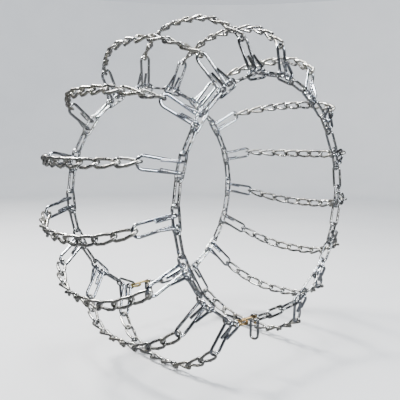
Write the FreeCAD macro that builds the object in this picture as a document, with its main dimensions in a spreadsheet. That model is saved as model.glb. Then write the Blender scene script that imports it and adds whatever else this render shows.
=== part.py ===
"""Snow chains for one small-tractor tyre, laid round the tyre as they are worn.

Frame: +Z up, the axle along Y through the origin, the outer face towards -Y, millimetres.
Angles round the wheel are counted counter-clockwise as seen from the outer face, from +X.
"""
import FreeCAD, Part
import math
import os

import Sketcher
from FreeCAD import Placement, Rotation, Vector

doc = FreeCAD.newDocument("SnowChains")

AXLE = Vector(0, -1, 0)
ALONG = Vector(1, 0, 0)

# ------------------------------------------------------------------ driving dimensions

DIMENSIONS = [
    ("ring_radius", 180.0, "circle through the side chain's link joints"),
    ("cross_count", 16, "cross chains, one on every second side link"),
    ("gap_middle", 271.0, "angle of the middle of the fastener gap, at the bottom"),
    ("side_pitch", 32.2, "side chain pitch"),
    ("side_wire", 3.8, "side chain wire"),
    ("side_bend", 5.5, "centreline radius of a side link's ends"),
    ("link_play", 0.8, "slack at every joint between links"),
    ("strand_gap", 0.1, "gap between two strands of one bent wire"),
    ("hook_wire", 4.3, "cross hook wire"),
    ("hook_length", 50.2, "from the side link's bar to the middle of the hook's U end"),
    ("hook_lean", 15.5, "lean of a cross hook in over the sidewall"),
    ("hook_foot", 7.0, "half the leg spacing at the loops"),
    ("hook_head", 8.5, "half the leg spacing at the U end"),
    ("hook_corner", 8.0, "bends of the U end"),
    ("hook_loop", 5.3, "from the middle of the bar to the wire looped round it"),
    ("hook_curl", 5.0, "bends of the loops"),
    ("hook_return", 22.0, "how far the cut end comes back along the hook"),
    ("hook_tuck", 2.0, "how far the cut end lies in from its leg"),
    ("hook_ease", 10.0, "gentle bend of the returning wire"),
    ("hook_ease_start", 1.5, "where that bend's corner lies above the bar"),
    ("cross_pitch", 27.0, "cross chain pitch"),
    ("cross_wire", 4.2, "cross chain wire"),
    ("cross_bend", 5.7, "half the centreline width of a twisted link"),
    ("cross_corner", 5.0, "corner bends of a twisted link"),
    ("cross_ease", 14.0, "gentle bend half way along a twisted link"),
    ("half_twist", 45.0, "roll of a twisted link's end from its middle"),
    ("entry_roll", 40.0, "roll of the first and last twisted link from lying flat"),
    ("roll_step", 10.5, "how much of that roll each next link loses"),
    ("slope_first", 38.0, "climb of cross links 1 and 9 over the shoulder"),
    ("slope_second", 30.0, "climb of cross links 2 and 8"),
    ("slope_third", 17.0, "climb of cross links 3 and 7"),
    ("slope_fourth", 5.0, "climb of cross links 4 and 6"),
    ("link_droop", 2.5, "most that a hook-carrying side link tips downhill"),
    ("free_roll", 8.0, "roll of a free link, its bar on the tyre nearer the rim"),
    ("hook_slide", 2.0, "most that a hook slides downhill along its bar"),
    ("hook_droop", 7.0, "most that a hook tips downhill on its bar"),
    ("cross_droop", 14.0, "most that a cross chain droops beyond its hooks"),
    ("clip_wire", 4.0, "fastener hook wire"),
    ("clip_eye", 5.4, "centreline radius of the fastener hook's eye"),
    ("clip_eye_roll", 96.0, "roll of the eye across the side link's end"),
    ("clip_eye_length", 11.9, "length of the eye before the wire leaves for the shank"),
    ("clip_ease", 6.0, "gentle bends of the fastener hook"),
    ("clip_shank_rise", 0.75, "share of the fastener hook's length that the shank rises over"),
    ("clip_cut_along", 0.45, "share of that rise where the eye's cut end lies"),
    ("clip_cut_lean", 0.75, "how far below the shank's side the cut end lies, for 1 beside it"),
    ("clip_play", 0.5, "room between the catch link's bar and the fastener hook"),
    ("clip_tip", 6.5, "how far the fastener hook's tip points down past the chain"),
    ("closing_sag", 3.0, "how much each closing link's heading differs from the next one's"),
    ("edge_roll", 82.0, "roll of the closing link beside the first cross chain"),
    ("face_roll", -5.0, "roll of the closing link that shows its face"),
    ("catch_roll", 90.0, "roll of the link that the fastener hook catches"),
    ("tail_reach", 7.0, "from the catch link's joint along to where the tail link hangs"),
    ("tail_turn", 25.0, "turn of the hanging tail link about the vertical"),
]

sheet = doc.addObject("Spreadsheet::Sheet", "Dimensions")
for row, (alias, value, note) in enumerate(DIMENSIONS, start=1):
    sheet.set(f"A{row}", alias)
    sheet.set(f"B{row}", str(value))
    sheet.setAlias(f"B{row}", alias)
    sheet.set(f"C{row}", note)
doc.recompute()


def size(alias):
    return float(sheet.get(alias))


# ------------------------------------------------------------------ bent wire

def bent_path(points, radii, closed=False):
    """Straight runs through the points, joined by tangent arcs of the given radii."""
    count = len(points)
    bends = []
    for index, corner in enumerate(points):
        if not closed and index in (0, count - 1):
            bends.append((corner, None, corner))
            continue
        back = (points[index - 1] - corner).normalize()
        ahead = (points[(index + 1) % count] - corner).normalize()
        turn = math.pi - back.getAngle(ahead)
        reach = radii[index] * math.tan(turn / 2)
        inward = (back + ahead).normalize()
        centre = corner + inward * (radii[index] / math.cos(turn / 2))
        bends.append((corner + back * reach, centre - inward * radii[index], corner + ahead * reach))
    edges = []
    for index, (start, middle, end) in enumerate(bends):
        if middle is not None:
            edges.append(Part.Arc(start, middle, end).toShape())
        if closed or index < count - 1:
            following = bends[(index + 1) % count][0]
            if end.distanceToPoint(following) > 1e-6:
                edges.append(Part.LineSegment(end, following).toShape())
    return edges


def swept_tube(edges, diameter):
    """A round wire along an open path whose first edge is straight."""
    start = edges[0].Vertexes[0].Point
    heading = edges[0].Vertexes[1].Point - start
    section = Part.Wire([Part.makeCircle(diameter / 2, start, heading)])
    return Part.Wire(edges).makePipeShell([section], True, False)


def checked_wire(solid, edges, diameter):
    expected = math.pi * diameter ** 2 / 4 * sum(edge.Length for edge in edges)
    if abs(solid.Volume - expected) > 0.001 * expected:
        raise RuntimeError(f"wire volume {solid.Volume:.1f} is not {expected:.1f}")
    return solid


def open_wire(points, radii, diameter):
    edges = bent_path(points, radii)
    return checked_wire(swept_tube(edges, diameter), edges, diameter)


def closed_wire(points, radii, diameter):
    """A closed link, swept as two halves that meet face to face on straight runs."""
    edges = bent_path(points, radii, closed=True)
    edges = edges[1:] + edges[:1]
    half = len(edges) // 2
    halves = [swept_tube(edges[:half], diameter), swept_tube(edges[half:], diameter)]
    link = halves[0].fuse(halves[1]).removeSplitter().Solids[0]
    return checked_wire(link, edges, diameter)


def wire_pattern(name, shape):
    pattern = doc.addObject("Part::Feature", name)
    pattern.Shape = shape
    return pattern


# ------------------------------------------------------------------ patterns of the pieces

def plane_of(body, role):
    return next(item for item in body.Origin.OriginFeatures if item.Role == role)


def side_link_pattern():
    """A straight welded link: long along X, wide along Z."""
    body = doc.addObject("PartDesign::Body", "SideLinkPattern")
    path = body.newObject("Sketcher::SketchObject", "SideLinkPath")
    path.AttachmentSupport = (plane_of(body, "XZ_Plane"), [""])
    path.MapMode = "FlatFace"
    bend = size("side_bend")
    reach = (size("side_pitch") + size("link_play") + size("side_wire")) / 2 - bend
    middle = Vector(0, bend, 0)
    path.addGeometry([
        Part.LineSegment(middle, Vector(reach, bend, 0)),
        Part.Arc(Vector(reach, bend, 0), Vector(reach + bend, 0, 0), Vector(reach, -bend, 0)),
        Part.LineSegment(Vector(reach, -bend, 0), Vector(-reach, -bend, 0)),
        Part.Arc(Vector(-reach, -bend, 0), Vector(-reach - bend, 0, 0), Vector(-reach, bend, 0)),
        Part.LineSegment(Vector(-reach, bend, 0), middle),
    ], False)
    # Both arcs run clockwise, so Part's arcs start (point 1) at the lower end.
    right_arc, left_arc = 1, 3
    path.addConstraint([
        Sketcher.Constraint("Tangent", 0, 2, right_arc, 2),
        Sketcher.Constraint("Tangent", right_arc, 1, 2, 1),
        Sketcher.Constraint("Tangent", 2, 2, left_arc, 2),
        Sketcher.Constraint("Tangent", left_arc, 1, 4, 1),
        Sketcher.Constraint("Coincident", 4, 2, 0, 1),
        Sketcher.Constraint("Horizontal", 0),
        Sketcher.Constraint("Horizontal", 4),
        Sketcher.Constraint("PointOnObject", 0, 1, -2),
        Sketcher.Constraint("PointOnObject", right_arc, 3, -1),
        Sketcher.Constraint("PointOnObject", left_arc, 3, -1),
    ])
    path.addConstraint(Sketcher.Constraint("Radius", right_arc, bend))
    path.renameConstraint(path.ConstraintCount - 1, "bend")
    path.setExpression("Constraints.bend", "Dimensions.side_bend")
    outer_length = "(Dimensions.side_pitch + Dimensions.link_play + Dimensions.side_wire)"
    straight = outer_length + " / 2 - Dimensions.side_bend"
    path.addConstraint(Sketcher.Constraint("DistanceX", -1, 1, right_arc, 3, reach))
    path.renameConstraint(path.ConstraintCount - 1, "right_reach")
    path.setExpression("Constraints.right_reach", straight)
    path.addConstraint(Sketcher.Constraint("DistanceX", left_arc, 3, -1, 1, reach))
    path.renameConstraint(path.ConstraintCount - 1, "left_reach")
    path.setExpression("Constraints.left_reach", straight)

    section = body.newObject("Sketcher::SketchObject", "SideLinkSection")
    section.AttachmentSupport = (plane_of(body, "YZ_Plane"), [""])
    section.MapMode = "FlatFace"
    section.addGeometry(Part.Circle(Vector(0, bend, 0), Vector(0, 0, 1), size("side_wire") / 2), False)
    section.addConstraint(Sketcher.Constraint("PointOnObject", 0, 3, -2))
    section.addConstraint(Sketcher.Constraint("DistanceY", -1, 1, 0, 3, bend))
    section.renameConstraint(1, "bend")
    section.setExpression("Constraints.bend", "Dimensions.side_bend")
    section.addConstraint(Sketcher.Constraint("Diameter", 0, size("side_wire")))
    section.renameConstraint(2, "wire")
    section.setExpression("Constraints.wire", "Dimensions.side_wire")
    doc.recompute()

    pipe = body.newObject("PartDesign::AdditivePipe", "SideLinkWire")
    pipe.Profile = section
    pipe.Spine = path
    pipe.Mode = "Frenet"
    doc.recompute()
    checked_wire(body.Shape, path.Shape.Edges, size("side_wire"))
    return body


def cross_hook_pattern():
    """One bent wire at the top of the wheel: a U end above, two loops round a bar along X.

    The long legs run on the tyre's side of the bar (+Y), and the cut ends come back outside.
    """
    foot = size("hook_foot")
    head = size("hook_head")
    loop = size("hook_loop")
    crown = size("hook_length")
    cut_height = size("hook_return")
    cut_across = foot + (head - foot) * cut_height / crown - size("hook_tuck")
    touch = loop - size("hook_wire") - size("strand_gap")
    leg = [
        Vector(cut_across, touch, cut_height),
        Vector(foot, -loop, size("hook_ease_start")),
        Vector(foot, -loop, -loop),
        Vector(foot, loop, -loop),
        Vector(head, loop, crown),
    ]
    other_leg = [Vector(-point.x, point.y, point.z) for point in reversed(leg)]
    curl = size("hook_curl")
    bends = [0, size("hook_ease"), curl, curl, size("hook_corner")]
    hook = open_wire(leg + other_leg, bends + bends[::-1], size("hook_wire"))
    return wire_pattern("CrossHookPattern", hook)


def twisted_link_pattern():
    """A link of twisted (curb) chain along X, its ends rolled opposite ways."""
    width = size("cross_bend")
    end = (size("cross_pitch") + size("link_play") + size("cross_wire")) / 2

    def across(roll):
        return Vector(0, width * math.cos(math.radians(roll)), width * math.sin(math.radians(roll)))

    near = across(size("half_twist"))
    far = across(-size("half_twist"))
    near_end = ALONG * -end
    far_end = ALONG * end
    corners = [near_end + near, across(0), far_end + far, far_end - far, -across(0), near_end - near]
    corner = size("cross_corner")
    ease = size("cross_ease")
    radii = [corner, ease, corner, corner, ease, corner]
    return wire_pattern("TwistedLinkPattern", closed_wire(corners, radii, size("cross_wire")))


def fastener_hook_pattern(length):
    """The fastener's bent wire along X, from the last side link's end to the catch link."""
    wire = size("clip_wire")
    eye = size("clip_eye")
    roll = math.radians(size("clip_eye_roll"))
    across = Vector(0, -math.sin(roll), math.cos(roll))
    eye_end = -(size("link_play") + wire) / 2
    eye_close = eye_end + size("clip_eye_length")
    over = (size("side_wire") + wire) / 2 + size("clip_play")
    bar = length - (size("link_play") + size("side_wire")) / 2
    upper = Vector(eye_close, 0, 0) - across * eye
    shank = Vector(length * size("clip_shank_rise"), 0, over)
    beside = upper + (shank - upper) * size("clip_cut_along")
    off_shank = (across - Vector(0, 0, size("clip_cut_lean"))).normalize()
    points = [
        beside + off_shank * (wire + size("strand_gap")),
        Vector(eye_close, 0, 0) + across * eye,
        Vector(eye_end, 0, 0) + across * eye,
        Vector(eye_end, 0, 0) - across * eye,
        upper,
        shank,
        Vector(bar + over, 0, over),
        Vector(bar + over, 0, -size("clip_tip")),
    ]
    ease = size("clip_ease")
    bends = [0, ease, eye, eye, ease, ease, over, 0]
    return wire_pattern("FastenerHookPattern", open_wire(points, bends, wire))


# ------------------------------------------------------------------ where the pieces lie

side_step = 2 * math.degrees(math.asin(size("side_pitch") / 2 / size("ring_radius")))
chord_radius = size("ring_radius") * math.cos(math.radians(side_step / 2))
cross_count = int(size("cross_count"))
ring_links = 2 * cross_count - 1
gap_angle = 360 - ring_links * side_step
first_joint = size("gap_middle") + gap_angle / 2

hook_lean = math.radians(size("hook_lean"))
hook_rise = size("hook_length") * math.cos(hook_lean) - size("hook_loop") * math.sin(hook_lean)
hook_inset = size("hook_length") * math.sin(hook_lean) + size("hook_loop") * math.cos(hook_lean)

climbs = [size("slope_" + name) for name in ("first", "second", "third", "fourth")]
slopes = climbs + [0.0] + [-climb for climb in reversed(climbs)]
rolls = [size("entry_roll") - rank * size("roll_step") for rank in range(len(climbs))]
rolls = rolls + [0.0] + [-roll for roll in reversed(rolls)]
cross_span = size("cross_pitch") * sum(math.cos(math.radians(slope)) for slope in slopes)
first_slope = math.radians(slopes[0])
end_gap = (size("link_play") + size("hook_wire")) / 2
pivot_half_span = cross_span / 2 - end_gap * math.cos(first_slope)
ring_spacing = 2 * (pivot_half_span + hook_inset)
SIDES = {"outer": -ring_spacing / 2, "inner": ring_spacing / 2}


def on_wheel(radius, angle, across=0.0):
    turn = math.radians(angle)
    return Vector(radius * math.cos(turn), across, radius * math.sin(turn))


def wheel_turn(angle):
    return Rotation(AXLE, angle)


def link_placement(position, heading, roll):
    return Placement(position, wheel_turn(heading) * Rotation(ALONG, roll))


def ring_joint(index):
    return first_joint + index * side_step


def free_link_placement(number, across):
    """Free links stand across the sidewall, between two hook-carrying links."""
    middle = ring_joint(2 * number - 1) + side_step / 2
    roll = 90 - math.copysign(size("free_roll"), across)
    return link_placement(on_wheel(chord_radius, middle, across), middle + 90, roll)


def cross_angle(number):
    return ring_joint(2 * (number - 1)) + side_step / 2


def droop(alias, number):
    """Gravity's share of a droop: all of it at the wheel's sides, none at top and bottom."""
    return -size(alias) * math.cos(math.radians(cross_angle(number)))


def carrier_angle(number):
    return cross_angle(number) + droop("link_droop", number)


def hook_angle(number):
    return carrier_angle(number) + droop("hook_droop", number)


def hook_link_placement(number, across):
    """Hook-carrying links lie flat on the sidewall."""
    middle = on_wheel(chord_radius, cross_angle(number), across)
    return link_placement(middle, carrier_angle(number) + 90, 0)


def bar_point(number, across=0.0):
    """The middle of a cross hook's grip on the outer bar of its side link."""
    middle = on_wheel(chord_radius, cross_angle(number), across)
    out = on_wheel(size("side_bend"), carrier_angle(number))
    downhill = on_wheel(droop("hook_slide", number), carrier_angle(number) + 90)
    return middle + out + downhill


def hook_placement(number, side):
    face = Rotation(Vector(0, 0, 1), 0 if side == "outer" else 180)
    lean = Rotation(ALONG, -size("hook_lean"))
    return Placement(bar_point(number, SIDES[side]), wheel_turn(hook_angle(number) - 90) * face * lean)


def cross_pivot(number):
    """Where the line through a cross chain's two hook ends meets the wheel's middle plane."""
    return bar_point(number) + on_wheel(hook_rise, hook_angle(number))


def cross_placement(number):
    lay = hook_angle(number) + droop("cross_droop", number)
    return Placement(cross_pivot(number), wheel_turn(lay - 90))


def carrier_end(number, way):
    """The joint at a hook-carrying link's end, counter-clockwise for 1, clockwise for -1."""
    middle = on_wheel(chord_radius, cross_angle(number))
    return middle + on_wheel(way * size("side_pitch") / 2, carrier_angle(number) + 90)


CLOSING_LINKS = ("edge", "face", "catch")


def closing_run():
    """Joints of the closing links, from the first cross chain's link back to the catch link."""
    start = carrier_end(1, -1)
    last = carrier_end(cross_count, 1)
    chord = start - last
    level = math.degrees(math.atan2(chord.z, chord.x))
    joints = [start]
    headings = []
    for rank in range(len(CLOSING_LINKS)):
        heading = level + size("closing_sag") * (len(CLOSING_LINKS) / 2 - rank)
        headings.append(heading)
        joints.append(joints[-1] - on_wheel(size("side_pitch"), heading))
    return last, joints, headings


last_joint, closing_joints, closing_headings = closing_run()
clip_run = closing_joints[-1] - last_joint
clip_length = clip_run.Length
clip_heading = math.degrees(math.atan2(clip_run.z, clip_run.x))
catch_joint = closing_joints[-1]


def tail_pivot(across):
    """Where the tail link hangs, on the catch link's long bar that faces +Y."""
    end = catch_joint + Vector(0, across, 0)
    catch = link_placement(end, closing_headings[-1], size("catch_roll"))
    return catch.multVec(Vector(size("tail_reach"), 0, -size("side_bend")))


def tail_placement(across):
    half = (size("side_pitch") + size("link_play") + size("side_wire")) / 2
    drop = half - size("side_wire") - size("link_play") / 2
    upended = Rotation(Vector(0, 1, 0), 90) * Rotation(ALONG, 90)
    hang = Rotation(Vector(0, 0, 1), size("tail_turn")) * upended
    return Placement(tail_pivot(across) - Vector(0, 0, drop), hang)


# ------------------------------------------------------------------ the pieces themselves

def placed(pattern, name, placement):
    piece = doc.addObject("Part::Compound", name)
    piece.Links = [pattern]
    piece.Placement = placement
    return piece


def group(name, members):
    whole = doc.addObject("Part::Compound", name)
    whole.Links = members
    return whole


nodes = []


def keep(piece, label, solids):
    piece.Label = label
    nodes.append((piece, solids))


side_link = side_link_pattern()
cross_hook = cross_hook_pattern()
twisted_link = twisted_link_pattern()
fastener_hook = fastener_hook_pattern(clip_length)


def cross_chain(number):
    """Nine twisted links climbing over the tread from hook to hook.

    They are laid out about the line along Y through the two hook ends, and stay as flat
    to the tread as they can while the chain droops.
    """
    joint = Vector(0, -cross_span / 2, -end_gap * math.sin(first_slope))
    links = []
    for rank, slope in enumerate(slopes):
        run = Rotation(ALONG, slope).multVec(Vector(0, size("cross_pitch"), 0))
        roll = rolls[rank] + droop("cross_droop", number)
        lay = Rotation(ALONG, slope) * Rotation(Vector(0, 0, 1), 90) * Rotation(ALONG, roll)
        place = cross_placement(number) * Placement(joint + run * 0.5, lay)
        links.append(placed(twisted_link, f"Cross{number}Link{rank + 1}", place))
        joint = joint + run
    return group(f"CrossChain{number}", links)


for number in range(1, cross_count + 1):
    keep(cross_chain(number), f"cross_chain_{number:02d}", len(slopes))

for side, across in SIDES.items():
    hook_links = []
    hooks = []
    for number in range(1, cross_count + 1):
        place = hook_link_placement(number, across)
        hook_links.append(placed(side_link, f"{side}HookLink{number}", place))
        hooks.append(placed(cross_hook, f"{side}Hook{number}", hook_placement(number, side)))
    keep(group(f"{side}HookLinks", hook_links), f"{side}_hook_links", cross_count)
    keep(group(f"{side}CrossHooks", hooks), f"{side}_cross_hooks", cross_count)

    for number in range(1, cross_count):
        free_link = placed(side_link, f"{side}FreeLink{number}", free_link_placement(number, across))
        keep(free_link, f"{side}_free_link_{number:02d}", 1)

    shift = Vector(0, across, 0)
    for rank, name in enumerate(CLOSING_LINKS):
        middle = (closing_joints[rank] + closing_joints[rank + 1]) * 0.5
        place = link_placement(middle + shift, closing_headings[rank], size(f"{name}_roll"))
        keep(placed(side_link, f"{side}{name}Link", place), f"{side}_{name}_link", 1)

    place = link_placement(last_joint + shift, clip_heading, 0)
    keep(placed(fastener_hook, f"{side}Fastener", place), f"{side}_fastener_hook", 1)
    keep(placed(side_link, f"{side}Tail", tail_placement(across)), f"{side}_tail_link", 1)

doc.recompute()

# ------------------------------------------------------------------ checks and export

for item in doc.Objects:
    if "Invalid" in item.State or "Error" in item.State:
        raise RuntimeError(f"{item.Label} failed to build")

for piece, solids in nodes:
    shape = piece.Shape
    if shape.isNull() or not shape.isValid() or len(shape.Solids) != solids:
        raise RuntimeError(f"{piece.Label} is not {solids} sound solids")

os.makedirs("parts", exist_ok=True)
for piece, solids in nodes:
    piece.Shape.exportStep(f"parts/{piece.Label}.step")
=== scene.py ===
import itertools
import math

import bpy
import numpy as np
from mathutils import Matrix, Vector


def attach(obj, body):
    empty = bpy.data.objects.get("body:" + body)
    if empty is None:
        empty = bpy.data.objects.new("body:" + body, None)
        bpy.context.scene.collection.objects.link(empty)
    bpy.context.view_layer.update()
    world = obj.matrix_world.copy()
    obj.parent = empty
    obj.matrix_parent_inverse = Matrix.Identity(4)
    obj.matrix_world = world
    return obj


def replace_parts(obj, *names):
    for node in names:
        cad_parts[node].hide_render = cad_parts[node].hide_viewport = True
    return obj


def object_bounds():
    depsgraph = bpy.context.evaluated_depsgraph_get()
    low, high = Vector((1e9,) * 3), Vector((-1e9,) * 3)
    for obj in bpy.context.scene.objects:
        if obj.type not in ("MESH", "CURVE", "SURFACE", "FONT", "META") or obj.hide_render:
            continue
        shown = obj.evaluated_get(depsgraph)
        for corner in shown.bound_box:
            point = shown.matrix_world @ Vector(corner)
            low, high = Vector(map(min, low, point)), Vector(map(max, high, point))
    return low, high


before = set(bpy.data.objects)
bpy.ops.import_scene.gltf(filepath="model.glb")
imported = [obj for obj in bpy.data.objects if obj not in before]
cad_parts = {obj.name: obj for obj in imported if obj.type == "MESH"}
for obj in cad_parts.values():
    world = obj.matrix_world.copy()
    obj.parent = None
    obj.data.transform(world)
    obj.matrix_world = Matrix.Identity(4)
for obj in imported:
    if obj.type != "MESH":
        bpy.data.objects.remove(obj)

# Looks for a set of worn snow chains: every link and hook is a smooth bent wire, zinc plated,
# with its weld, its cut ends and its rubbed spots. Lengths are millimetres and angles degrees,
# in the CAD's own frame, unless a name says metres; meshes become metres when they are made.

cad_low, cad_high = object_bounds()

MM = 0.001
AXLE = Vector((0, -1, 0))
ALONG = Vector((1, 0, 0))
UPRIGHT = Vector((0, 0, 1))
SIDEWAYS = Vector((0, 1, 0))

# ------------------------------------------------------------------ driving dimensions

# side chain
RING_RADIUS = 180.0
CROSS_COUNT = 16
GAP_MIDDLE = 271.0
SIDE_PITCH = 32.2
SIDE_WIRE = 3.8
SIDE_BEND = 5.5
LINK_PLAY = 0.8
STRAND_GAP = 0.1

# cross hooks
HOOK_WIRE = 4.3
HOOK_LENGTH = 50.2
HOOK_LEAN = 15.5
HOOK_FOOT = 7.0
HOOK_HEAD = 8.5
HOOK_CORNER = 8.0
HOOK_LOOP = 5.3
HOOK_CURL = 5.0
HOOK_RETURN = 22.0
HOOK_TUCK = 2.0
HOOK_EASE = 10.0
HOOK_EASE_START = 1.5

# cross chains
CROSS_PITCH = 27.0
CROSS_WIRE = 4.2
CROSS_BEND = 5.7
CROSS_CORNER = 5.0
CROSS_EASE = 14.0
HALF_TWIST = 45.0
ENTRY_ROLL = 40.0
ROLL_STEP = 10.5
CLIMBS = (38.0, 30.0, 17.0, 5.0)

# how the chain hangs
LINK_DROOP = 2.5
FREE_ROLL = 8.0
HOOK_SLIDE = 2.0
HOOK_DROOP = 7.0
CROSS_DROOP = 14.0

# fastener and slack end
CLIP_WIRE = 4.0
CLIP_EYE = 5.4
CLIP_EYE_ROLL = 96.0
CLIP_EYE_LENGTH = 11.9
CLIP_EASE = 6.0
CLIP_SHANK_RISE = 0.75
CLIP_CUT_ALONG = 0.45
CLIP_CUT_LEAN = 0.75
CLIP_PLAY = 0.5
CLIP_TIP = 6.5
CLOSING_SAG = 3.0
CLOSING_ROLLS = {"edge": 82.0, "face": -5.0, "catch": 90.0}
TAIL_REACH = 7.0
TAIL_TURN = 25.0

# ------------------------------------------------------------------ bent wire

STRAIGHT_STEP = 1.5
BEND_STEP = 0.75
WELD_STEP = 0.3
WELD_REACH = 3.0
LAST_STEP_STRETCH = 1.3
TIGHT_BEND = 9.0
ROUND_SIDES = 20
SEAM_SAMPLES = 400
PINCH_SMOOTHING = 4
OFF_EVERY_WIRE = (0.31, 0.52, 0.79)
# A link's end is two bends that all but meet: this much of the radius keeps them apart.
NEARLY_ROUND = 0.999
SHORTEST_STRAIGHT = 1e-6
ROUND_OFF = 1e-9


def bent_line(points, radii, closed):
    """A centreline as stretches of (length, start, direction, bend centre or None, bend axis)."""
    count = len(points)
    corners = []
    for index, corner in enumerate(points):
        if not closed and index in (0, count - 1):
            corners.append((corner, corner, None, None, 0.0))
            continue
        back = (points[index - 1] - corner).normalized()
        ahead = (points[(index + 1) % count] - corner).normalized()
        turn = math.pi - back.angle(ahead)
        reach = radii[index] * math.tan(turn / 2)
        centre = corner + (back + ahead).normalized() * (radii[index] / math.cos(turn / 2))
        axis = ahead.cross(back).normalized()
        start, end = corner + back * reach, corner + ahead * reach
        corners.append((start, end, centre, axis, turn * radii[index]))
    stretches = []
    for index, (start, end, centre, axis, length) in enumerate(corners):
        if centre is not None:
            heading = (points[index] - start).normalized()
            stretches.append((length, start, heading, centre, axis))
        if closed or index < count - 1:
            following = corners[(index + 1) % count][0]
            run = following - end
            if run.length > SHORTEST_STRAIGHT:
                stretches.append((run.length, end, run.normalized(), None, None))
    return stretches


def walk(stretches, distance):
    """Position, heading, way to the bend's centre and the bend's radius, at a distance along."""
    for length, start, heading, centre, axis in stretches:
        if distance <= length + ROUND_OFF:
            break
        distance -= length
    if centre is None:
        return start + heading * distance, heading, Vector((0, 0, 0)), math.inf
    radius = (start - centre).length
    swing = Matrix.Rotation(distance / radius, 3, axis)
    position = centre + swing @ (start - centre)
    return position, swing @ heading, (centre - position).normalized(), radius


class WirePattern:
    """One bent wire, cut into rings: where each ring is, how it faces, and what is near it."""

    def __init__(self, points, radii, diameter, weld_at=None, touches=()):
        self.closed = weld_at is not None
        self.radius = diameter / 2
        self.touches = [np.array(touch) for touch in touches]
        stretches = bent_line(points, radii, self.closed)
        self.length = sum(stretch[0] for stretch in stretches)
        seam = 0.0
        if self.closed:
            samples = np.linspace(0, self.length, SEAM_SAMPLES)
            seam = min(samples, key=lambda s: (walk(stretches, s)[0] - weld_at).length)
        distances = self.ring_distances(stretches, seam)
        found = [walk(stretches, (seam + s) % self.length if self.closed else s) for s in distances]
        self.along = np.array(distances)
        self.middle = np.array([row[0] for row in found])
        self.heading = np.array([row[1] for row in found])
        pinch = [row[2] * (1.0 if row[3] < TIGHT_BEND else 0.0) for row in found]
        self.inward = smooth_rows(np.array(pinch), self.closed)
        self.side, self.other = self.ring_axes()

    def ring_distances(self, stretches, seam):
        """Closer rings in bends and closest at the weld, which is where a closed wire starts."""
        distances = [0.0]
        while True:
            here = distances[-1]
            if self.closed and min(here, self.length - here) < WELD_REACH:
                step = WELD_STEP
            elif walk(stretches, (seam + here) % self.length)[3] < math.inf:
                step = BEND_STEP
            else:
                step = STRAIGHT_STEP
            if here + step * LAST_STEP_STRETCH > self.length:
                break
            distances.append(here + step)
        if not self.closed:
            distances.append(self.length)
        return distances

    def ring_axes(self):
        """Ring axes carried along without twist; a closed wire spreads what is left at its end."""
        first = self.heading[0]
        side = np.cross(first, OFF_EVERY_WIRE)
        side /= np.linalg.norm(side)
        sides = [side]
        for heading in self.heading[1:]:
            side = side - heading * side.dot(heading)
            side /= np.linalg.norm(side)
            sides.append(side)
        sides = np.array(sides)
        others = np.cross(self.heading, sides)
        if not self.closed:
            return sides, others
        back = side - first * side.dot(first)
        left = math.atan2(np.dot(back, others[0]), np.dot(back, sides[0]))
        turn = -left * self.along / self.length
        cos, sin = np.cos(turn)[:, None], np.sin(turn)[:, None]
        return sides * cos + others * sin, others * cos - sides * sin


def smooth_rows(rows, closed):
    for _ in range(PINCH_SMOOTHING):
        if closed:
            rows = (np.roll(rows, 1, axis=0) + 2 * rows + np.roll(rows, -1, axis=0)) / 4
        else:
            padded = np.vstack([rows[:1], rows, rows[-1:]])
            rows = (padded[:-2] + 2 * rows + padded[2:]) / 4
    return rows


# ------------------------------------------------------------------ a piece made of wires

SHARP_ANGLE = math.radians(50)
BEND_FLATTENING = 0.05
WAVE = 0.006
LONG_WAVE = 4.3
SHORT_WAVE = 2.1
WELD_UPSET = 0.045
WELD_UPSET_WIDTH = 2.6
WELD_COLLAR = 0.065
WELD_COLLAR_WIDTH = 1.25
WELD_RIDGE = 0.05
WELD_RIDGE_WIDTH = 0.42
WELD_STAIN_WIDTH = 2.0
WELD_SIZES = (0.75, 1.2)
WELD_LUMPS = (0.45, 0.2)
WELD_CRESTS = (0.5, 0.35)
RUB_REACH = 4.5
RUB_CORE = 1.2
CUT_BEVEL = 0.28
CUT_SLANT = 0.10
# Rings past a cut end: share of the wire's radius, share of the bevel ahead, share of cut steel.
CUT_RINGS = (
    (1.03, 0.0, 0.2),
    (1.0, 0.6, 0.6),
    (0.86, 1.0, 1.0),
    (0.45, 1.0, 1.0),
    (0.02, 1.0, 1.0),
)
# How far apart two wires may lie in the noise, so that no two have the same marks.
NOISE_SPREAD = 500


def hump(off, width):
    return np.exp(-(off / width) ** 2)


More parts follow.
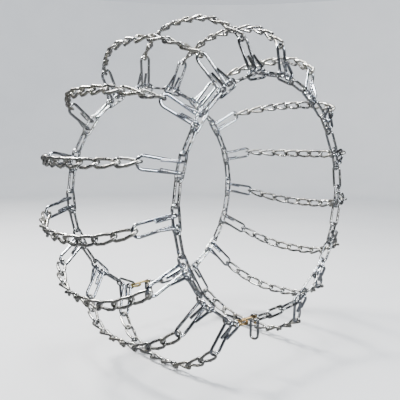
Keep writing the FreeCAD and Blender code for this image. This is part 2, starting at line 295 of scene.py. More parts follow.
class Wirework:
    """Collects the wires of one piece and turns them into one mesh."""

    def __init__(self, name, seed):
        self.name = name
        self.random = np.random.default_rng(seed)
        self.points = []
        self.faces = []
        self.values = {"wire_coords": [], "rub": [], "weld": [], "cut": [], "tone": []}
        self.count = 0

    def add(self, pattern, place):
        """One wire: rings round its centreline, swollen at the weld and flattened in its bends."""
        random = self.random
        angles = np.arange(ROUND_SIDES) * (2 * math.pi / ROUND_SIDES)
        cos, sin = np.cos(angles), np.sin(angles)
        round_way = pattern.side[:, None] * cos[:, None] + pattern.other[:, None] * sin[:, None]
        swell = np.ones((len(pattern.along), ROUND_SIDES))
        phases = random.uniform(0, 2 * math.pi, 6)
        swell += WAVE * np.sin(pattern.along[:, None] / LONG_WAVE + phases[0] + angles * 2)
        swell += WAVE * np.sin(pattern.along[:, None] / SHORT_WAVE + phases[1] - angles)
        weld = np.zeros(len(pattern.along))
        if pattern.closed:
            off = np.minimum(pattern.along, pattern.length - pattern.along)
            size = random.uniform(*WELD_SIZES)
            lump = 1 + WELD_LUMPS[0] * np.cos(angles - phases[2])
            lump += WELD_LUMPS[1] * np.cos(2 * angles - phases[3])
            crest = 1 + WELD_CRESTS[0] * np.cos(3 * angles - phases[4])
            crest += WELD_CRESTS[1] * np.cos(5 * angles - phases[5])
            swell += size * WELD_UPSET * hump(off, WELD_UPSET_WIDTH)[:, None]
            swell += size * WELD_COLLAR * hump(off, WELD_COLLAR_WIDTH)[:, None] * lump
            swell += size * WELD_RIDGE * hump(off, WELD_RIDGE_WIDTH)[:, None] * crest
            weld = hump(off, WELD_STAIN_WIDTH)
        rings = round_way * (pattern.radius * swell)[:, :, None]
        pinch = np.einsum("rsk,rk->rs", rings, pattern.inward)
        rings -= BEND_FLATTENING * pinch[:, :, None] * pattern.inward[:, None]
        points = pattern.middle[:, None] + rings
        straight = np.stack(np.broadcast_arrays(
            pattern.radius * cos, pattern.radius * sin, pattern.along[:, None]), axis=2)
        cut = np.zeros(len(pattern.along))
        if not pattern.closed:
            points, straight, weld, cut = self.with_cut_ends(pattern, points, straight, weld, cut)
        self.keep(pattern, place, points, straight, weld, cut)

    def with_cut_ends(self, pattern, points, straight, weld, cut):
        """Sheared ends: a slight burr, a small bevel and a flat face cut a little out of square."""
        lists = ([points], [straight], [weld], [cut])
        for end, out in ((0, -1.0), (-1, 1.0)):
            middle = pattern.middle[end]
            heading = pattern.heading[end] * out
            lean = pattern.side[end] * self.random.uniform(-1, 1) * CUT_SLANT
            lean = lean + pattern.other[end] * self.random.uniform(-1, 1) * CUT_SLANT
            rows = []
            spread = points[end] - middle
            for share, ahead, _ in CUT_RINGS:
                ring = spread * share
                rows.append(middle + ring + heading * (ahead * CUT_BEVEL + ring @ lean)[:, None])
            rows = np.array(rows)
            shares = np.array([min(share, 1.0) for share, _, _ in CUT_RINGS])
            flat = straight[end][None] * shares[:, None, None]
            bare = np.array([steel for _, _, steel in CUT_RINGS])
            extra = (rows, flat, np.zeros(len(rows)), bare)
            for kept, added in zip(lists, extra):
                if out < 0:
                    kept.insert(0, added[::-1])
                else:
                    kept.append(added)
        return [np.concatenate(kept) for kept in lists]

    def keep(self, pattern, place, points, straight, weld, cut):
        rings, sides = points.shape[:2]
        flat = points.reshape(-1, 3)
        rub = np.zeros(len(flat))
        for touch in pattern.touches:
            near = np.linalg.norm(flat - touch, axis=1) / RUB_REACH
            rub = np.maximum(rub, np.clip(RUB_CORE - near, 0, 1))
        turn = np.array(place.to_3x3())
        moved = flat @ turn.T + np.array(place.translation)
        ring = np.arange(rings if pattern.closed else rings - 1)[:, None]
        side = np.arange(sides)[None]
        next_ring = (ring + 1) % rings
        next_side = (side + 1) % sides
        corners = [ring * sides + side, ring * sides + next_side,
                   next_ring * sides + next_side, next_ring * sides + side]
        quads = np.stack(np.broadcast_arrays(*corners), axis=2).reshape(-1, 4)
        self.points.append(moved * MM)
        self.faces.append(quads + self.count)
        self.count += len(flat)
        shift = self.random.uniform(0, NOISE_SPREAD, 3)
        self.values["wire_coords"].append(straight.reshape(-1, 3) + shift)
        self.values["rub"].append(rub)
        self.values["weld"].append(np.repeat(weld, sides))
        self.values["cut"].append(np.repeat(cut, sides))
        self.values["tone"].append(np.full(len(flat), self.random.uniform(0, 1)))

    def make(self, body, slot, material):
        mesh = bpy.data.meshes.new(self.name)
        points = np.concatenate(self.points)
        faces = np.concatenate(self.faces)
        mesh.vertices.add(len(points))
        mesh.vertices.foreach_set("co", points.astype(np.float32).ravel())
        mesh.loops.add(faces.size)
        mesh.loops.foreach_set("vertex_index", faces.astype(np.int32).ravel())
        mesh.polygons.add(len(faces))
        mesh.polygons.foreach_set("loop_start", np.arange(len(faces), dtype=np.int32) * 4)
        mesh.update(calc_edges=True)
        mesh.polygons.foreach_set("use_smooth", np.ones(len(faces), dtype=bool))
        for label, parts in self.values.items():
            data = np.concatenate(parts).astype(np.float32)
            if data.ndim == 2:
                layer = mesh.attributes.new(label, "FLOAT_VECTOR", "POINT")
                layer.data.foreach_set("vector", data.ravel())
            else:
                layer = mesh.attributes.new(label, "FLOAT", "POINT")
                layer.data.foreach_set("value", data)
        mesh.set_sharp_from_angle(angle=SHARP_ANGLE)
        mesh.validate()
        mesh.materials.append(material)
        piece = bpy.data.objects.new(self.name, mesh)
        bpy.context.scene.collection.objects.link(piece)
        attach(piece, body)
        return piece


# ------------------------------------------------------------------ patterns of the pieces

def side_link_pattern():
    """A straight welded link: long along X, wide along Z, its weld half way along the +Z bar."""
    reach = (SIDE_PITCH + LINK_PLAY + SIDE_WIRE) / 2
    corners = [Vector((-reach, 0, SIDE_BEND)), Vector((reach, 0, SIDE_BEND)),
               Vector((reach, 0, -SIDE_BEND)), Vector((-reach, 0, -SIDE_BEND))]
    inside = reach - SIDE_WIRE / 2
    touches = [(inside, 0, 0), (-inside, 0, 0)]
    weld_at = Vector((0, 0, SIDE_BEND))
    return WirePattern(corners, [SIDE_BEND * NEARLY_ROUND] * 4, SIDE_WIRE, weld_at, touches)


def twisted_link_pattern():
    """A link of twisted (curb) chain along X, its ends rolled opposite ways."""
    end = (CROSS_PITCH + LINK_PLAY + CROSS_WIRE) / 2

    def across(roll):
        turn = math.radians(roll)
        return Vector((0, CROSS_BEND * math.cos(turn), CROSS_BEND * math.sin(turn)))

    near = across(HALF_TWIST)
    far = across(-HALF_TWIST)
    near_end = ALONG * -end
    far_end = ALONG * end
    corners = [near_end + near, across(0), far_end + far,
               far_end - far, -across(0), near_end - near]
    radii = [CROSS_CORNER, CROSS_EASE, CROSS_CORNER, CROSS_CORNER, CROSS_EASE, CROSS_CORNER]
    inside = end - CROSS_WIRE / 2
    touches = [(inside, 0, 0), (-inside, 0, 0)]
    return WirePattern(corners, radii, CROSS_WIRE, across(0), touches)


def cross_hook_pattern():
    """One bent wire at the top of the wheel: a U end above, two loops round a bar along X."""
    cut_across = HOOK_FOOT + (HOOK_HEAD - HOOK_FOOT) * HOOK_RETURN / HOOK_LENGTH - HOOK_TUCK
    touch = HOOK_LOOP - HOOK_WIRE - STRAND_GAP
    leg = [
        Vector((cut_across, touch, HOOK_RETURN)),
        Vector((HOOK_FOOT, -HOOK_LOOP, HOOK_EASE_START)),
        Vector((HOOK_FOOT, -HOOK_LOOP, -HOOK_LOOP)),
        Vector((HOOK_FOOT, HOOK_LOOP, -HOOK_LOOP)),
        Vector((HOOK_HEAD, HOOK_LOOP, HOOK_LENGTH)),
    ]
    other_leg = [Vector((-point.x, point.y, point.z)) for point in reversed(leg)]
    bends = [0, HOOK_EASE, HOOK_CURL, HOOK_CURL, HOOK_CORNER]
    grip = HOOK_LOOP - HOOK_WIRE / 2
    crown = HOOK_LENGTH - HOOK_WIRE / 2
    touches = [(HOOK_FOOT, 0, -grip), (-HOOK_FOOT, 0, -grip), (0, HOOK_LOOP, crown)]
    return WirePattern(leg + other_leg, bends + bends[::-1], HOOK_WIRE, touches=touches)


def fastener_hook_pattern(length):
    """The fastener's bent wire along X, from the last side link's end to the catch link."""
    roll = math.radians(CLIP_EYE_ROLL)
    across = Vector((0, -math.sin(roll), math.cos(roll)))
    eye_end = -(LINK_PLAY + CLIP_WIRE) / 2
    eye_close = eye_end + CLIP_EYE_LENGTH
    over = (SIDE_WIRE + CLIP_WIRE) / 2 + CLIP_PLAY
    bar = length - (LINK_PLAY + SIDE_WIRE) / 2
    upper = ALONG * eye_close - across * CLIP_EYE
    shank = Vector((length * CLIP_SHANK_RISE, 0, over))
    beside = upper + (shank - upper) * CLIP_CUT_ALONG
    off_shank = (across - UPRIGHT * CLIP_CUT_LEAN).normalized()
    points = [
        beside + off_shank * (CLIP_WIRE + STRAND_GAP),
        ALONG * eye_close + across * CLIP_EYE,
        ALONG * eye_end + across * CLIP_EYE,
        ALONG * eye_end - across * CLIP_EYE,
        upper,
        shank,
        Vector((bar + over, 0, over)),
        Vector((bar + over, 0, -CLIP_TIP)),
    ]
    eye_bend = CLIP_EYE * NEARLY_ROUND
    radii = [0, CLIP_EASE, eye_bend, eye_bend, CLIP_EASE, CLIP_EASE, over, 0]
    touches = [(eye_end + CLIP_WIRE / 2, 0, 0), (bar, 0, over - CLIP_WIRE / 2)]
    return WirePattern(points, radii, CLIP_WIRE, touches=touches)


# ------------------------------------------------------------------ where the pieces lie

side_step = 2 * math.degrees(math.asin(SIDE_PITCH / 2 / RING_RADIUS))
chord_radius = RING_RADIUS * math.cos(math.radians(side_step / 2))
ring_links = 2 * CROSS_COUNT - 1
first_joint = GAP_MIDDLE + (360 - ring_links * side_step) / 2

hook_lean = math.radians(HOOK_LEAN)
hook_rise = HOOK_LENGTH * math.cos(hook_lean) - HOOK_LOOP * math.sin(hook_lean)
hook_inset = HOOK_LENGTH * math.sin(hook_lean) + HOOK_LOOP * math.cos(hook_lean)

slopes = [*CLIMBS, 0.0, *(-climb for climb in reversed(CLIMBS))]
entry_rolls = [ENTRY_ROLL - rank * ROLL_STEP for rank in range(len(CLIMBS))]
rolls = [*entry_rolls, 0.0, *(-roll for roll in reversed(entry_rolls))]
cross_span = CROSS_PITCH * sum(math.cos(math.radians(slope)) for slope in slopes)
end_gap = (LINK_PLAY + HOOK_WIRE) / 2
first_slope = math.radians(slopes[0])
ring_spacing = 2 * (cross_span / 2 - end_gap * math.cos(first_slope) + hook_inset)
SIDES = {"outer": -ring_spacing / 2, "inner": ring_spacing / 2}


def on_wheel(radius, angle, across=0.0):
    turn = math.radians(angle)
    return Vector((radius * math.cos(turn), across, radius * math.sin(turn)))


def turned(axis, angle):
    return Matrix.Rotation(math.radians(angle), 4, axis)


def wheel_turn(angle):
    return turned(AXLE, angle)


def placed(position, turn):
    return Matrix.Translation(position) @ turn


def link_place(position, heading, roll):
    return placed(position, wheel_turn(heading) @ turned(ALONG, roll))


def ring_joint(index):
    return first_joint + index * side_step


def free_link_place(number, across):
    middle = ring_joint(2 * number - 1) + side_step / 2
    roll = 90 - math.copysign(FREE_ROLL, across)
    return link_place(on_wheel(chord_radius, middle, across), middle + 90, roll)


def cross_angle(number):
    return ring_joint(2 * (number - 1)) + side_step / 2


def droop(most, number):
    """Gravity's share of a droop: all of it at the wheel's sides, none at top and bottom."""
    return -most * math.cos(math.radians(cross_angle(number)))


def carrier_angle(number):
    return cross_angle(number) + droop(LINK_DROOP, number)


def hook_angle(number):
    return carrier_angle(number) + droop(HOOK_DROOP, number)


def hook_link_place(number, across):
    middle = on_wheel(chord_radius, cross_angle(number), across)
    return link_place(middle, carrier_angle(number) + 90, 0)


def bar_point(number, across=0.0):
    middle = on_wheel(chord_radius, cross_angle(number), across)
    out = on_wheel(SIDE_BEND, carrier_angle(number))
    return middle + out + on_wheel(droop(HOOK_SLIDE, number), carrier_angle(number) + 90)


def hook_place(number, side):
    face = turned(UPRIGHT, 0 if side == "outer" else 180)
    turn = wheel_turn(hook_angle(number) - 90) @ face @ turned(ALONG, -HOOK_LEAN)
    return placed(bar_point(number, SIDES[side]), turn)


def cross_place(number):
    pivot = bar_point(number) + on_wheel(hook_rise, hook_angle(number))
    lay = hook_angle(number) + droop(CROSS_DROOP, number)
    return placed(pivot, wheel_turn(lay - 90))


def cross_link_places(number):
    """Nine twisted links climbing over the tread from hook to hook."""
    joint = Vector((0, -cross_span / 2, -end_gap * math.sin(first_slope)))
    for slope, roll in zip(slopes, rolls):
        run = turned(ALONG, slope) @ (SIDEWAYS * CROSS_PITCH)
        roll = roll + droop(CROSS_DROOP, number)
        lay = turned(ALONG, slope) @ turned(UPRIGHT, 90) @ turned(ALONG, roll)
        yield cross_place(number) @ placed(joint + run * 0.5, lay)
        joint = joint + run


def carrier_end(number, way):
    """The joint at a hook-carrying link's end, counter-clockwise for 1, clockwise for -1."""
    middle = on_wheel(chord_radius, cross_angle(number))
    return middle + on_wheel(way * SIDE_PITCH / 2, carrier_angle(number) + 90)


def closing_run():
    """Joints of the closing links, from the first cross chain's link back to the catch link."""
    start = carrier_end(1, -1)
    last = carrier_end(CROSS_COUNT, 1)
    chord = start - last
    level = math.degrees(math.atan2(chord.z, chord.x))
    joints = [start]
    headings = []
    for rank in range(len(CLOSING_ROLLS)):
        heading = level + CLOSING_SAG * (len(CLOSING_ROLLS) / 2 - rank)
        headings.append(heading)
        joints.append(joints[-1] - on_wheel(SIDE_PITCH, heading))
    return last, joints, headings


last_joint, closing_joints, closing_headings = closing_run()
catch_joint = closing_joints[-1]
clip_run = catch_joint - last_joint
clip_heading = math.degrees(math.atan2(clip_run.z, clip_run.x))


def tail_place(across):
    """The slack end link hangs from the catch link's long bar that faces +Y."""
    end = catch_joint + SIDEWAYS * across
    catch = link_place(end, closing_headings[-1], CLOSING_ROLLS["catch"])
    pivot = catch @ Vector((TAIL_REACH, 0, -SIDE_BEND))
    drop = (SIDE_PITCH + LINK_PLAY + SIDE_WIRE) / 2 - SIDE_WIRE - LINK_PLAY / 2
    hang = turned(UPRIGHT, TAIL_TURN) @ turned(SIDEWAYS, 90) @ turned(ALONG, 90)
    return placed(pivot - UPRIGHT * drop, hang)


# ------------------------------------------------------------------ materials

class Nodes:
    """A small helper for one material's node tree."""

    def __init__(self, name):
        self.material = bpy.data.materials.new(name)
        self.material.use_nodes = True
        self.tree = self.material.node_tree
        self.shader = self.tree.nodes["Principled BSDF"]

    def new(self, kind, **settings):
        node = self.tree.nodes.new(kind)
        for key, value in settings.items():
            setattr(node, key, value)
        return node

    def link(self, source, target):
        self.tree.links.new(source, target)

    def attribute(self, name):
        return self.new("ShaderNodeAttribute", attribute_name=name)

    def scaled(self, vector, scale):
        node = self.new("ShaderNodeMapping")
        node.inputs["Scale"].default_value = scale
        self.link(vector, node.inputs["Vector"])
        return node.outputs["Vector"]

    def noise(self, vector, scale, detail=3.0, roughness=0.55, distortion=0.0):
        node = self.new("ShaderNodeTexNoise")
        node.inputs["Scale"].default_value = scale
        node.inputs["Detail"].default_value = detail
        node.inputs["Roughness"].default_value = roughness
        node.inputs["Distortion"].default_value = distortion
        self.link(vector, node.inputs["Vector"])
        return node.outputs["Fac"]

    def fit(self, value, low, high, to_low=0.0, to_high=1.0):
        """value from low..high to to_low..to_high, held at both ends."""
        node = self.new("ShaderNodeMapRange", interpolation_type="SMOOTHSTEP")
        node.inputs["From Min"].default_value = low
        node.inputs["From Max"].default_value = high
        node.inputs["To Min"].default_value = to_low
        node.inputs["To Max"].default_value = to_high
        self.link(value, node.inputs["Value"])
        return node.outputs["Result"]

    def times(self, first, second):
        node = self.new("ShaderNodeMath", operation="MULTIPLY")
        self.link(first, node.inputs[0])
        if isinstance(second, float):
            node.inputs[1].default_value = second
        else:
            self.link(second, node.inputs[1])
        return node.outputs["Value"]

    def mix(self, share, first, second):
        """Colours or sockets mixed by share; a tuple stands for a plain colour."""
        node = self.new("ShaderNodeMix", data_type="RGBA")
        self.link(share, node.inputs["Factor"])
        for label, value in (("A", first), ("B", second)):
            socket = next(s for s in node.inputs if s.name == label and s.type == "RGBA")
            if isinstance(value, tuple):
                socket.default_value = (*value, 1.0)
            else:
                self.link(value, socket)
        return next(s for s in node.outputs if s.type == "RGBA")

    def blend(self, share, first, second):
        """Numbers or sockets mixed by share."""
        node = self.new("ShaderNodeMix", data_type="FLOAT")
        self.link(share, node.inputs["Factor"])
        for label, value in (("A", first), ("B", second)):
            socket = next(s for s in node.inputs if s.name == label and s.type == "VALUE")
            if isinstance(value, float):
                socket.default_value = value
            else:
                self.link(value, socket)
        return next(s for s in node.outputs if s.type == "VALUE")

    def bump(self, height, strength, distance, before=None):
        node = self.new("ShaderNodeBump")
        node.inputs["Strength"].default_value = strength
        node.inputs["Distance"].default_value = distance
        self.link(height, node.inputs["Height"])
        if before is not None:
            self.link(before, node.inputs["Normal"])
        return node.outputs["Normal"]


# Noise in the plating: scale round and along the wire per mm, detail, roughness, distortion.
DRAW_LINES = ((3.2, 3.2, 0.10), 4.0, 0.6, 0.0)
CLOUDS = ((0.16, 0.16, 0.09), 3.0, 0.6, 0.4)
BLOOM = ((0.55, 0.55, 0.30), 5.0, 0.62, 0.7)
SPOTS = ((1.1, 1.1, 0.8), 6.0, 0.7, 0.3)
SHEAR = ((0.5, 4.0, 1.0), 3.0, 0.55, 0.0)
GRAIN = (7.0, 2.0, 0.6)
# The noise values between which each mark comes in.
CLOUD_EDGE = (0.36, 0.64)
DULL_EDGE = (0.35, 0.68)
WARM_EDGE = (0.45, 1.0)
STAIN_EDGE = (0.56, 0.72)
SPECK_EDGE = (0.66, 0.74)
LINE_EDGE = (0.50, 0.74)
WEAR_EDGE = (0.30, 0.62)
BURN_EDGE = (0.30, 0.60)
SHEAR_EDGE = (0.4, 0.6)
# How much of each mark shows; the burn goes from its least to its most.
WARM_SHARE = 0.55
SPECK_SHARE = 0.7
LINE_SHARE = 0.22
WEAR_SHARE = 0.8
BURN_SHARES = (0.35, 0.85)
# Bumps: strength, and depth in metres; spots are shallow away from the weld.
LINE_BUMP = (0.30, 0.00012)
GRAIN_BUMP = (0.18, 0.00008)
SPOT_BUMP = (0.55, 0.00030)
SPOT_DEPTHS = (0.15, 1.0)

SHADE_OF_STAIN = 0.62
SHADE_OF_SPECK = 0.34
SHADE_OF_DRAW_LINE = 0.55
RUBBED_STEEL = (0.40, 0.39, 0.38)
BURNT_WELD = (0.47, 0.44, 0.40)
CUT_SHADOW = (0.30, 0.29, 0.29)
CUT_STEEL = (0.52, 0.52, 0.53)
STAIN_ROUGHER = 0.18
RUBBED_ROUGHNESS = 0.20
WELD_ROUGHNESS = 0.52
CUT_ROUGHNESS = 0.50


def shaded(colour, share):
    return tuple(value * share for value in colour)


def plated_wire(name, bright, cool, warm, smooth, dull, mottle):
    """Plated steel wire: draw lines along it, clouded plating, stains, rubs, welds and cuts."""
    nodes = Nodes(name)
    wire = nodes.attribute("wire_coords").outputs["Vector"]
    rub = nodes.attribute("rub").outputs["Fac"]
    weld = nodes.attribute("weld").outputs["Fac"]
    cut = nodes.attribute("cut").outputs["Fac"]
    tone = nodes.attribute("tone").outputs["Fac"]

    def noise(scale, *settings):
        return nodes.noise(nodes.scaled(wire, scale), 1.0, *settings)

    draw_lines = noise(*DRAW_LINES)
    clouds = noise(*CLOUDS)
    bloom = noise(*BLOOM)
    grain = nodes.noise(wire, *GRAIN)
    spots = noise(*SPOTS)

    colour = nodes.mix(nodes.fit(clouds, *CLOUD_EDGE), cool, bright)
    colour = nodes.mix(nodes.times(nodes.fit(tone, *WARM_EDGE), WARM_SHARE), colour, warm)
    stain = nodes.times(nodes.fit(bloom, *STAIN_EDGE), mottle)
    colour = nodes.mix(stain, colour, shaded(warm, SHADE_OF_STAIN))
    speck = nodes.times(nodes.fit(spots, *SPECK_EDGE), SPECK_SHARE)
    colour = nodes.mix(speck, colour, shaded(cool, SHADE_OF_SPECK))
    line_shade = nodes.fit(draw_lines, *LINE_EDGE, 0.0, LINE_SHARE)
    colour = nodes.mix(line_shade, colour, shaded(cool, SHADE_OF_DRAW_LINE))
    worn = nodes.times(rub, nodes.fit(spots, *WEAR_EDGE))
    colour = nodes.mix(nodes.times(worn, WEAR_SHARE), colour, RUBBED_STEEL)
    burnt = nodes.times(weld, nodes.fit(bloom, *BURN_EDGE, *BURN_SHARES))
    colour = nodes.mix(burnt, colour, BURNT_WELD)
    cut_colour = nodes.mix(nodes.fit(noise(*SHEAR), *SHEAR_EDGE), CUT_SHADOW, CUT_STEEL)
    colour = nodes.mix(cut, colour, cut_colour)
    nodes.link(colour, nodes.shader.inputs["Base Color"])

    rough = nodes.fit(clouds, *DULL_EDGE, smooth, dull)
    rough = nodes.blend(stain, rough, dull + STAIN_ROUGHER)
    rough = nodes.blend(worn, rough, RUBBED_ROUGHNESS)
    rough = nodes.blend(burnt, rough, WELD_ROUGHNESS)
    rough = nodes.blend(cut, rough, CUT_ROUGHNESS)
    nodes.link(rough, nodes.shader.inputs["Roughness"])
    nodes.shader.inputs["Metallic"].default_value = 1.0

    normal = nodes.bump(draw_lines, *LINE_BUMP)
    normal = nodes.bump(grain, *GRAIN_BUMP, normal)
    spot_height = nodes.times(spots, nodes.blend(weld, *SPOT_DEPTHS))
    normal = nodes.bump(spot_height, *SPOT_BUMP, normal)
    nodes.link(normal, nodes.shader.inputs["Normal"])
    return nodes.material


# Plating where it is bright, cool and warm.
SIDE_COLOURS = ((0.80, 0.82, 0.85), (0.62, 0.66, 0.72), (0.80, 0.78, 0.72))
HOOK_COLOURS = ((0.82, 0.85, 0.90), (0.60, 0.65, 0.74), (0.80, 0.79, 0.76))
CROSS_COLOURS = ((0.82, 0.81, 0.77), (0.66, 0.67, 0.69), (0.80, 0.76, 0.66))
YELLOW_COLOURS = ((0.85, 0.62, 0.25), (0.66, 0.60, 0.30), (0.82, 0.47, 0.24))
# Smoothest and dullest roughness, and how strongly stains show.
SIDE_FINISH = (0.14, 0.27, 0.45)
HOOK_FINISH = (0.12, 0.22, 0.30)
CROSS_FINISH = (0.20, 0.36, 0.65)
YELLOW_FINISH = (0.22, 0.36, 0.45)
side_zinc = plated_wire("side_chain_zinc", *SIDE_COLOURS, *SIDE_FINISH)
hook_zinc = plated_wire("cross_hook_zinc", *HOOK_COLOURS, *HOOK_FINISH)
cross_zinc = plated_wire("cross_chain_zinc", *CROSS_COLOURS, *CROSS_FINISH)
yellow_zinc = plated_wire("fastener_yellow_zinc", *YELLOW_COLOURS, *YELLOW_FINISH)

# ------------------------------------------------------------------ the pieces themselves

side_link = side_link_pattern()
twisted_link = twisted_link_pattern()
cross_hook = cross_hook_pattern()
fastener_hook = fastener_hook_pattern(clip_run.length)

FIXED = "side_chains"
FIRST_SEED = 1000
seeds = itertools.count(FIRST_SEED)


def piece(node, body, slot, material, wires):
    """One piece that stands for the CAD node of the same name."""
    work = Wirework("wire_" + node, next(seeds))
    for pattern, place in wires:
        work.add(pattern, place)
    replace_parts(work.make(body, slot, material), node)


numbers = range(1, CROSS_COUNT + 1)
for number in numbers:
    name = f"cross_chain_{number:02d}"
    wires = [(twisted_link, place) for place in cross_link_places(number)]
    piece(name, name, "cross_zinc", cross_zinc, wires)

for side, across in SIDES.items():
    shift = Vector((0, across, 0))
    hook_links = [(side_link, hook_link_place(number, across)) for number in numbers]
    piece(f"{side}_hook_links", FIXED, "side_zinc", side_zinc, hook_links)
    hooks = [(cross_hook, hook_place(number, side)) for number in numbers]
    piece(f"{side}_cross_hooks", FIXED, "hook_zinc", hook_zinc, hooks)
    for number in numbers[:-1]:
        name = f"{side}_free_link_{number:02d}"
        piece(name, FIXED, "side_zinc", side_zinc, [(side_link, free_link_place(number, across))])
    for rank, (name, roll) in enumerate(CLOSING_ROLLS.items()):
        middle = (closing_joints[rank] + closing_joints[rank + 1]) / 2 + shift
        place = link_place(middle, closing_headings[rank], roll)
        name = f"{side}_{name}_link"
        piece(name, name, "side_zinc", side_zinc, [(side_link, place)])
    place = link_place(last_joint + shift, clip_heading, 0)
    name = f"{side}_fastener_hook"
    piece(name, name, "yellow_zinc", yellow_zinc, [(fastener_hook, place)])
    name = f"{side}_tail_link"
    piece(name, name, "side_zinc", side_zinc, [(side_link, tail_place(across))])

# ------------------------------------------------------------------ floor, light and camera

FLOOR_RADIUS = 2.6
COVE_RADIUS = 0.9
COVE_TOP = 1.5
ROUND_STEPS = 96
COVE_STEPS = 14
FLOOR_SHADES = ((0.81, 0.82, 0.83), (0.85, 0.855, 0.86))
FLOOR_ROUGHNESS = 0.75
# Noise scale and detail of the floor's two shades, and the values between which they change.
FLOOR_PATCHES = (3.0, 3.0)
FLOOR_PATCH_EDGE = (0.3, 0.7)
AIR_LIGHT = 0.95
AIR_COLOUR = (0.84, 0.89, 0.96, 1.0)
MIRROR_TINT = (0.98, 1.0, 1.03)
# How high the wires look, from straight down at 0 to straight up at 1, and how bright it is there.
MIRROR_BANDS = (
    (0.0, 0.22), (0.32, 0.15), (0.44, 0.035), (0.72, 0.03), (0.90, 0.07), (1.0, 0.22),
)


def studio_floor(level):
    """A pale round floor in metres that curves up into a low wall, the same from every side."""
    profile = [(0.0, 0.0), (FLOOR_RADIUS * 0.5, 0.0), (FLOOR_RADIUS, 0.0)]
    for step in range(1, COVE_STEPS + 1):
        turn = math.pi / 2 * step / COVE_STEPS
        out, rise = math.sin(turn), 1 - math.cos(turn)
        profile.append((FLOOR_RADIUS + COVE_RADIUS * out, COVE_RADIUS * rise))
    profile.append((FLOOR_RADIUS + COVE_RADIUS, COVE_TOP))
    points = [(0.0, 0.0, level)]
    for radius, height in profile[1:]:
        for step in range(ROUND_STEPS):
            turn = 2 * math.pi * step / ROUND_STEPS
            points.append((radius * math.cos(turn), radius * math.sin(turn), level + height))
    faces = [(0, 1 + step, 1 + (step + 1) % ROUND_STEPS) for step in range(ROUND_STEPS)]
    for row in range(len(profile) - 2):
        low = 1 + row * ROUND_STEPS
        high = low + ROUND_STEPS
        for step in range(ROUND_STEPS):
            ahead = (step + 1) % ROUND_STEPS
            faces.append((low + step, high + step, high + ahead, low + ahead))
    mesh = bpy.data.meshes.new("studio_floor")
    mesh.from_pydata(points, [], faces)
    mesh.polygons.foreach_set("use_smooth", [True] * len(faces))
    nodes = Nodes("studio_floor_paint")
    place = nodes.new("ShaderNodeTexCoord").outputs["Object"]
    shade = nodes.fit(nodes.noise(place, *FLOOR_PATCHES), *FLOOR_PATCH_EDGE)
    nodes.link(nodes.mix(shade, *FLOOR_SHADES), nodes.shader.inputs["Base Color"])
    nodes.shader.inputs["Roughness"].default_value = FLOOR_ROUGHNESS
    mesh.materials.append(nodes.material)
    floor = bpy.data.objects.new("studio_floor", mesh)
    floor.visible_glossy = False
    bpy.context.scene.collection.objects.link(floor)


def soft_light(name, position, target, size, watts, colour):
    """A square soft box in metres, facing its target."""
    light = bpy.data.lights.new(name, "AREA")
    light.shape = "SQUARE"
    light.size = size
    light.energy = watts
    light.color = colour
    lamp = bpy.data.objects.new(name, light)
    lamp.location = position
    lamp.rotation_mode = "QUATERNION"
    lamp.rotation_quaternion = (target - position).to_track_quat("-Z", "Y")
    bpy.context.scene.collection.objects.link(lamp)


def studio_world():
    """Pale air for light and sight; wires mirror a darker studio, so that bright metal reads."""
    world = bpy.data.worlds.new("studio_air")
    world.use_nodes = True
    tree = world.node_tree
    air = tree.nodes["Background"]
    air.inputs["Color"].default_value = AIR_COLOUR
    air.inputs["Strength"].default_value = AIR_LIGHT
    mirrored = tree.nodes.new("ShaderNodeBackground")
    ramp = tree.nodes.new("ShaderNodeValToRGB")
    split = tree.nodes.new("ShaderNodeSeparateXYZ")
    place = tree.nodes.new("ShaderNodeTexCoord")
    height = tree.nodes.new("ShaderNodeMapRange")
    height.inputs["From Min"].default_value = -1.0
    tree.links.new(place.outputs["Generated"], split.inputs["Vector"])
    tree.links.new(split.outputs["Z"], height.inputs["Value"])
    tree.links.new(height.outputs["Result"], ramp.inputs["Fac"])
    tree.links.new(ramp.outputs["Color"], mirrored.inputs["Color"])
    bands = ramp.color_ramp.elements
    while len(bands) < len(MIRROR_BANDS):
        bands.new(1.0)
    for band, (at, grey) in zip(bands, MIRROR_BANDS):
        band.position = at
        band.color = (*(grey * tint for tint in MIRROR_TINT), 1.0)
    rays = tree.nodes.new("ShaderNodeLightPath")
    mix = tree.nodes.new("ShaderNodeMixShader")
    tree.links.new(rays.outputs["Is Glossy Ray"], mix.inputs["Fac"])
    tree.links.new(air.outputs["Background"], mix.inputs[1])
    tree.links.new(mirrored.outputs["Background"], mix.inputs[2])
    tree.links.new(mix.outputs["Shader"], tree.nodes["World Output"].inputs["Surface"])
    bpy.context.scene.world = world


studio_floor(cad_low.z)
studio_world()

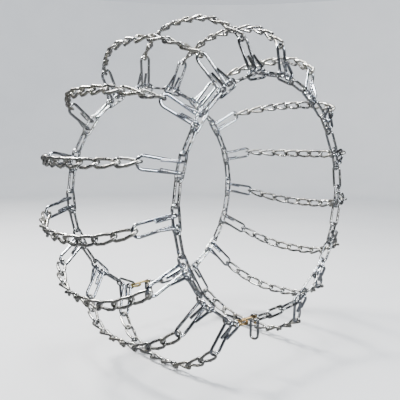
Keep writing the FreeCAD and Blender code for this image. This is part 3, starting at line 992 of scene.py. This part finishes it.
CAMERA_AZIMUTH = -43.318
CAMERA_ELEVATION = 6.16
CAMERA_ROLL = 0.545
CAMERA_DISTANCE = 3.505 * RING_RADIUS
CAMERA_LENS = 45.06
CAMERA_SENSOR = 36.0
# Clipping distances in metres.
CAMERA_NEAREST = 0.01
CAMERA_FURTHEST = 50.0
TARGET_ALONG = -0.776 * RING_RADIUS
TARGET_HEIGHT = 0.057 * RING_RADIUS

# Soft boxes: how far right of, behind and above the chains' middle they stand as the camera sees
# it, and their width, all in metres, then watts and colour.
SOFT_LIGHTS = (
    ("key_box", (-1.1, 0.5, 1.5), 0.40, 70.0, (1.0, 0.98, 0.95)),
    ("fill_box", (1.3, -1.0, 0.7), 0.50, 18.0, (0.90, 0.95, 1.0)),
    ("top_box", (0.0, 0.0, 1.7), 0.50, 26.0, (1.0, 1.0, 1.0)),
    ("front_box", (0.5, -1.69, 0.18), 0.30, 5.0, (1.0, 1.0, 1.0)),
)

azimuth = math.radians(CAMERA_AZIMUTH)
elevation = math.radians(CAMERA_ELEVATION)
right = Vector((math.cos(azimuth), math.sin(azimuth), 0.0))
away = UPRIGHT.cross(right)
back = UPRIGHT * math.sin(elevation) - away * math.cos(elevation)
target = Vector((TARGET_ALONG, SIDES["outer"], TARGET_HEIGHT))

camera_data = bpy.data.cameras.new("photo_camera")
camera_data.sensor_width = CAMERA_SENSOR
camera_data.lens = CAMERA_LENS
camera_data.clip_start = CAMERA_NEAREST
camera_data.clip_end = CAMERA_FURTHEST
camera = bpy.data.objects.new("photo_camera", camera_data)
camera.location = (target + back * CAMERA_DISTANCE) * MM
camera.rotation_mode = "QUATERNION"
level_view = (-back).to_track_quat("-Z", "Y").to_matrix()
rolled_view = Matrix.Rotation(math.radians(CAMERA_ROLL), 3, back) @ level_view
camera.rotation_quaternion = rolled_view.to_quaternion()
bpy.context.scene.collection.objects.link(camera)
bpy.context.scene.camera = camera

middle = (cad_low + cad_high) / 2
for name, offset, width, watts, colour in SOFT_LIGHTS:
    along, deep, up = offset
    place = middle + right * along + away * deep + UPRIGHT * up
    soft_light(name, place, middle, width, watts, colour)
